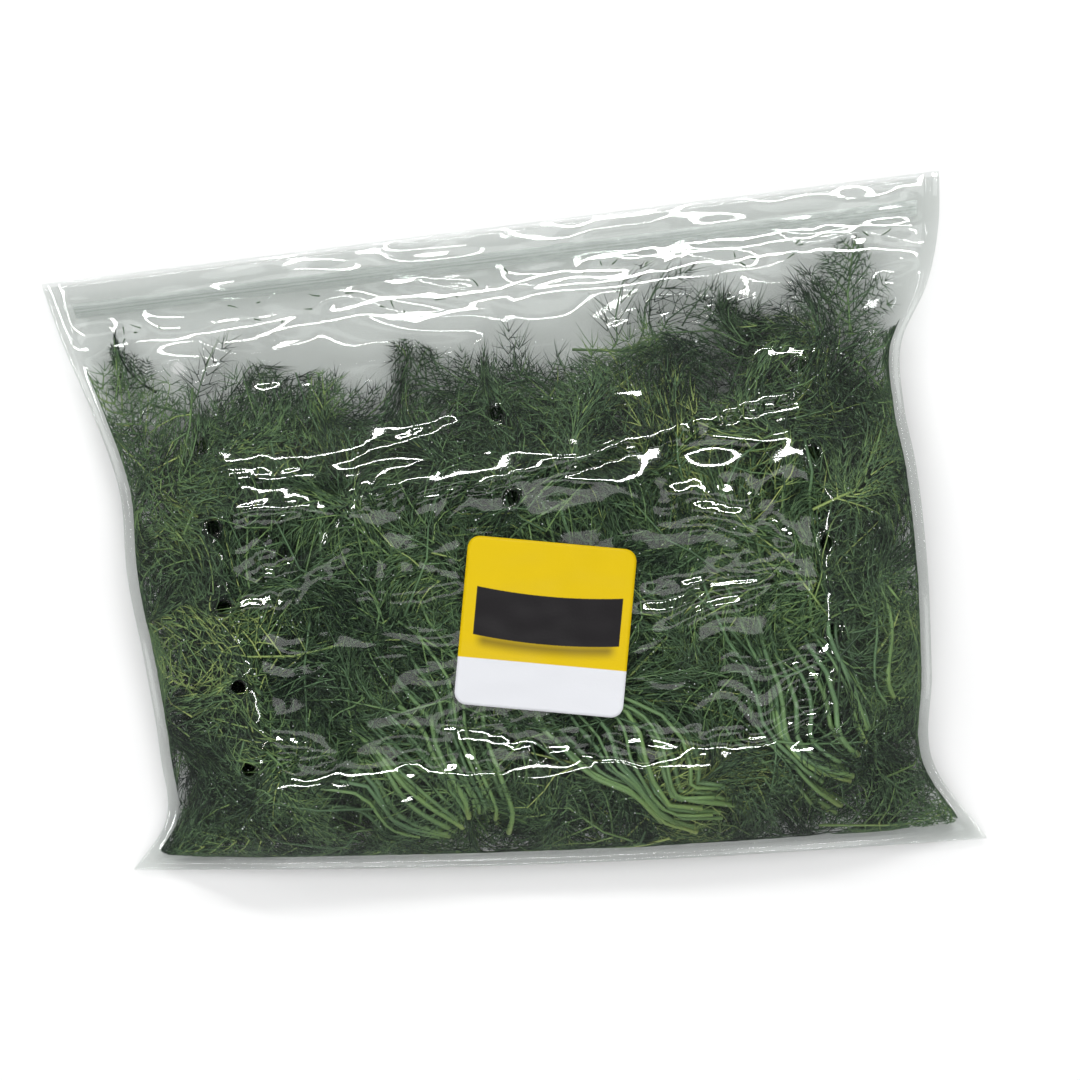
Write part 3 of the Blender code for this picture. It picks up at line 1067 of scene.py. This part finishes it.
def kept_inside(base, heading, size, length, random):
    """Turns a leaf away from the bag's edges and the dill's crest, or shortens it."""
    for _ in range(6):
        tip_x = base[0] + size * length * math.cos(heading)
        tip_y = base[1] + size * length * math.sin(heading)
        u, v = unbounded_uv(tip_x, tip_y)
        crest = float(through(CREST, np.float64(np.clip(u, 0.0, 1.0))))
        if 0.015 < u < 0.985 and 0.02 < v < crest + random.uniform(-0.06, 0.015):
            return heading, size
        heading += math.radians(random.uniform(-38, 38))
        size *= 0.88
    return heading, size


def make_sprig(bunch, edges, bow, lanes, lane, layer, patterns, random):
    """Stalks that fan along a lane of a bunch, with leaves up both their sides."""
    settings = bpy.context.scene.dill_settings
    leaves, thread_points, limits = LAYER_BUILDS[layer]
    middle = (layer + 0.5) / LAYERS
    chunks = []

    def add(paths, radii, sides, pointed, shades, height=middle, hole=False):
        bent = into_bag(paths, height, limits, THREAD_CLEAR + radii.max())
        if hole:
            keep = clear_of_vents(bent)
            bent, radii, shades = bent[keep], radii[keep], shades[keep]
        points, faces, count = tube_mesh(bent, radii, sides, pointed)
        per_point = np.repeat(shades, count, axis=0) if shades.ndim == 1 else shades.ravel()
        chunks.append((points, faces, per_point))

    rails = []
    front = layer == LAYERS - 1
    for offset, reach in STALKS[: len(STALKS) if front else 2 + layer % 2]:
        along = np.linspace(random.uniform(-0.01, 0.06), reach * 0.93, 16)
        drift = random.uniform(-0.16, 0.16) + random.uniform(-0.5, 0.5) * (along - 0.12)
        share = (lane + 0.5 + offset + drift) / lanes
        uv = gate(edges, bow, share, along)
        x, y = plan(uv[:, 0], uv[:, 1])
        z = random.uniform(-0.002, 0.004) + 0.0015 * np.sin(along * 9.0 + random.uniform(0, 6))
        rail = np.stack([x, y, z], axis=-1)
        rails.append((rail, along))
        thick = settings.stalk * random.uniform(0.5, 1.0) * (1.0 - 0.62 * along)
        shade = 0.60 + 0.30 * np.exp(-along / 0.05) - 0.30 * along + random.uniform(-0.22, 0.05)
        press = random.uniform(0.02, 0.10) if front else 0.0
        height = middle + press * (1.0 - smooth_step(0.25, 0.55, along))
        add(rail[None], thick[None], 8, False, np.repeat(shade, 8)[None], height)

    crowd = CROWDED.get((bunch, lane + 1))
    for k in range(leaves + (CROWD[layer] if crowd else 0)):
        rail, along = rails[k % min(len(rails), LEAFY_STALKS)]
        lowest = 0.20 if front else 0.03
        reach = lowest + (0.96 - lowest) * min(1.0, (k + random.uniform(0.2, 0.8)) / leaves)
        spot = reach * (len(rail) - 1)
        i = min(int(spot), len(rail) - 2)
        base = rail[i] + (rail[i + 1] - rail[i]) * (spot - i)
        run = rail[i + 1] - rail[i]
        side = 1 if k % 2 else -1
        spread = random.uniform(8, 46) if k % 3 else random.uniform(40, 150)
        heading = math.atan2(run[1], run[0]) + side * math.radians(spread)
        if k % 3 == 0:
            base = base + np.array([*random.normal(0.0, 0.014, 2), 0.0])
        if k >= leaves:
            spot_u, spot_v = random.uniform(*crowd[0]), random.uniform(*crowd[1])
            base = np.array([*plan(np.float64(spot_u), np.float64(spot_v)), 0.0])
            heading = random.uniform(0.0, 2.0 * math.pi)
        ribs, threads = patterns[random.integers(len(patterns))]
        size = settings.frond / 0.105 * random.uniform(0.72, 1.05) * (1.0 - 0.18 * reach)
        heading, size = kept_inside(base, heading, size, settings.frond, random)
        turn = np.array(
            [
                [math.cos(heading), -math.sin(heading), 0.0],
                [math.sin(heading), math.cos(heading), 0.0],
                [0.0, 0.0, 0.5],
            ]
        )
        lift = np.array([0.0, 0.0, random.uniform(-0.004, 0.007)])
        # Leaves in layers nearer the back panel get darker tones and the front layer lighter ones: painted
        # shade by depth, over a random tone.
        tone_and_depth_shade = random.uniform(-0.02, 0.12 + 0.11 * layer)
        tone_and_depth_shade += 0.34 if random.random() < 0.06 else 0.0
        for parts, points, sides, radius, shade in (
            (ribs, 5, 4, settings.thread * 2.3, tone_and_depth_shade + 0.26),
            (threads, thread_points, 3, settings.thread, tone_and_depth_shade),
        ):
            paths, scale = curved_paths(random, parts, points, 0.16)
            paths = (paths * size) @ turn.T + base + lift
            taper = np.linspace(1.0, 0.45, points)[None, :]
            radii = radius * scale[:, None] * taper
            shades = shade + random.normal(0.0, 0.15, len(parts))
            add(paths, radii, sides, True, shades, hole=layer > 1)
    return mesh_from(f"dill_{bunch}_{layer + 1}_{lane + 1}", chunks)


class BAG_OT_sprigs(bpy.types.Operator):
    """Grows the dill sprigs, layer by layer, in the spaces that the frame holds for them"""

    bl_idname = "dill_bag.sprigs"
    bl_label = "Sprigs"

    def execute(self, context):
        settings = context.scene.dill_settings
        leaf = dill_material(settings)
        random = np.random.default_rng(2026)
        patterns = [frond_pattern(random, 0.105) for _ in range(8)]
        for bunch, lanes, *edges, bow in BUNCHES:
            for layer in range(LAYERS):
                for lane in range(lanes):
                    obj = make_sprig(bunch, edges, bow, lanes, lane, layer, patterns, random)
                    node = f"sprig_{bunch}_{layer + 1}_{lane + 1}"
                    finish_piece(obj, leaf, "dill_leaf", node)
        return {"FINISHED"}


class BAG_OT_loose_bits(bpy.types.Operator):
    """Scatters broken bits of leaf near the zip"""

    bl_idname = "dill_bag.loose_bits"
    bl_label = "Loose Bits"

    def execute(self, context):
        settings = context.scene.dill_settings
        random = np.random.default_rng(7)
        parts = []
        for _ in range(34):
            u = random.uniform(0.06, 0.95)
            v = random.uniform(0.885, 0.930)
            x, y = plan(np.float64(u), np.float64(v))
            low, high = back_z(u, v), front_z(u, v)
            start = np.array([x, y, low + (high - low) * 0.5])
            parts.append((start, random.uniform(0, 6.28), random.uniform(0.0015, 0.006), 1.0, 0.0))
        paths, scale = curved_paths(random, parts, 4, 0.2)
        radii = settings.thread * scale[:, None] * np.linspace(1.1, 0.6, 4)[None, :]
        points, faces, count = tube_mesh(paths, radii, 4, True)
        shades = np.repeat(random.uniform(-0.3, 0.1, len(parts)), count)
        obj = mesh_from("loose_bits", [(points, faces, shades)])
        finish_piece(obj, bpy.data.materials["dill_leaf"], "dill_leaf")
        return {"FINISHED"}


class BAG_OT_droplets(bpy.types.Operator):
    """Sprinkles fine condensation on the inside of the front film"""

    bl_idname = "dill_bag.droplets"
    bl_label = "Condensation"

    def execute(self, context):
        random = np.random.default_rng(19)
        count = 1500
        u = random.uniform(0.05, 0.95, count)
        v = random.uniform(0.06, 0.86, count)
        x, y = plan(u, v)
        dense = ripple(x, y, 0.09, 0.07, 97)
        keep = (dense + random.normal(0.0, 0.6, count) > -0.1) & (label_distance(x, y) > 0.001)
        u, v, x, y = u[keep], v[keep], x[keep], y[keep]
        z = front_z(u, v) + film_relief(u, v)
        size = random.uniform(0.00012, 0.00034, len(x)) * (1.0 + 0.6 * (random.random(len(x)) > 0.93))
        deselect()
        bpy.ops.mesh.primitive_uv_sphere_add(segments=6, ring_count=4, radius=1.0)
        bead = bpy.context.object
        bead.data.calc_loop_triangles()
        corners = np.array([vert.co[:] for vert in bead.data.vertices])
        sides = np.array([tri.vertices[:] for tri in bead.data.loop_triangles])
        bpy.data.objects.remove(bead)
        corners[:, 2] *= 0.55
        points = corners[None] * size[:, None, None] + np.stack([x, y, z - size * 0.5], axis=-1)[:, None]
        shift = (np.arange(len(x)) * len(corners))[:, None, None]
        faces = (sides[None] + shift).reshape(-1, 3)
        obj = mesh_from("condensation", [(points.reshape(-1, 3), faces, np.zeros(points[..., 0].size))])
        finish_piece(obj, droplet_material(), "bag_film")
        return {"FINISHED"}


# ------------------------------------------------------------------ stage


def softbox(name, heading, height, width, depth, strength, mirrored):
    """An area light at a compass heading and height, in degrees, that faces the bag."""
    data = bpy.data.lights.new(name, "AREA")
    data.shape = "RECTANGLE"
    data.size, data.size_y = width, depth
    data.energy = strength * width * depth * math.pi
    light = bpy.data.objects.new(name, data)
    turn, rise = math.radians(heading), math.radians(height)
    place = (math.cos(turn) * math.cos(rise), math.sin(turn) * math.cos(rise), math.sin(rise))
    light.location = [LIGHT_DISTANCE * part for part in place]
    light.rotation_euler = light.location.to_track_quat("Z", "Y").to_euler()
    light.visible_glossy = mirrored
    bpy.context.scene.collection.objects.link(light)


def studio_air():
    """A pale surround that is dark overhead, as a light tent is round its opening."""
    world = bpy.data.worlds.new("studio")
    world.use_nodes = True
    tree = world.node_tree
    air = tree.nodes["Background"]
    coordinates = tree.nodes.new("ShaderNodeTexCoord")
    split = tree.nodes.new("ShaderNodeSeparateXYZ")
    tree.links.new(coordinates.outputs["Generated"], split.inputs[0])
    fade = tree.nodes.new("ShaderNodeMapRange")
    fade.inputs["From Min"].default_value = 0.82
    fade.inputs["From Max"].default_value = 0.74
    fade.inputs["To Min"].default_value = 0.03
    fade.inputs["To Max"].default_value = 0.14
    tree.links.new(split.outputs["Z"], fade.inputs["Value"])
    tree.links.new(fade.outputs[0], air.inputs["Strength"])
    air.inputs["Color"].default_value = (0.97, 0.99, 1.0, 1.0)
    return world


class BAG_OT_stage(bpy.types.Operator):
    """Makes the floor, the lights and the camera"""

    bl_idname = "dill_bag.stage"
    bl_label = "Stage"

    def execute(self, context):
        settings = context.scene.stage_settings
        scene = context.scene
        deselect()
        bpy.ops.mesh.primitive_plane_add(size=8.0, location=(0.0, 0.0, -0.0002))
        floor = context.object
        floor.name = "floor"
        floor.data.materials.append(floor_material(settings.floor))
        floor.visible_glossy = False

        scene.world = studio_air()

        for number, light in enumerate(LIGHTS):
            softbox(f"softbox_{number + 1}", *light)

        data = bpy.data.cameras.new("camera")
        data.sensor_width = 36.0
        data.lens = data.sensor_width * (settings.height - 0.02) / settings.span
        data.clip_end = 20.0
        camera = bpy.data.objects.new("camera", data)
        camera.location = (0.01185, -0.00911, settings.height)
        scene.collection.objects.link(camera)
        scene.camera = camera
        scene.view_settings.view_transform = "Standard"
        scene.cycles.transparent_max_bounces = 24
        return {"FINISHED"}


class BAG_PT_panel(bpy.types.Panel):
    """Lists what the add-on makes"""

    bl_idname = "BAG_PT_panel"
    bl_label = "Bagged Dill"
    bl_space_type = "VIEW_3D"
    bl_region_type = "UI"
    bl_category = "Bagged Dill"

    def draw(self, context):
        for name in ("film_settings", "label_settings", "dill_settings", "stage_settings"):
            settings = getattr(context.scene, name)
            box = self.layout.box()
            for key in settings.__annotations__:
                box.prop(settings, key)
        for operator in OPERATORS:
            self.layout.operator(operator.bl_idname)


SETTINGS = {
    "film_settings": FilmSettings,
    "label_settings": LabelSettings,
    "dill_settings": DillSettings,
    "stage_settings": StageSettings,
}
OPERATORS = (
    BAG_OT_film_panels,
    BAG_OT_zip_finish,
    BAG_OT_label,
    BAG_OT_sprigs,
    BAG_OT_loose_bits,
    BAG_OT_droplets,
    BAG_OT_stage,
)


def register():
    for made in (*SETTINGS.values(), *OPERATORS, BAG_PT_panel):
        bpy.utils.register_class(made)
    for name, made in SETTINGS.items():
        setattr(bpy.types.Scene, name, bpy.props.PointerProperty(type=made))


def unregister():
    for name in SETTINGS:
        delattr(bpy.types.Scene, name)
    for made in reversed((*SETTINGS.values(), *OPERATORS, BAG_PT_panel)):
        bpy.utils.unregister_class(made)


def main():
    register()
    for operator in OPERATORS:
        group, name = operator.bl_idname.split(".")
        getattr(getattr(bpy.ops, group), name)()


if __name__ == "__main__":
    main()
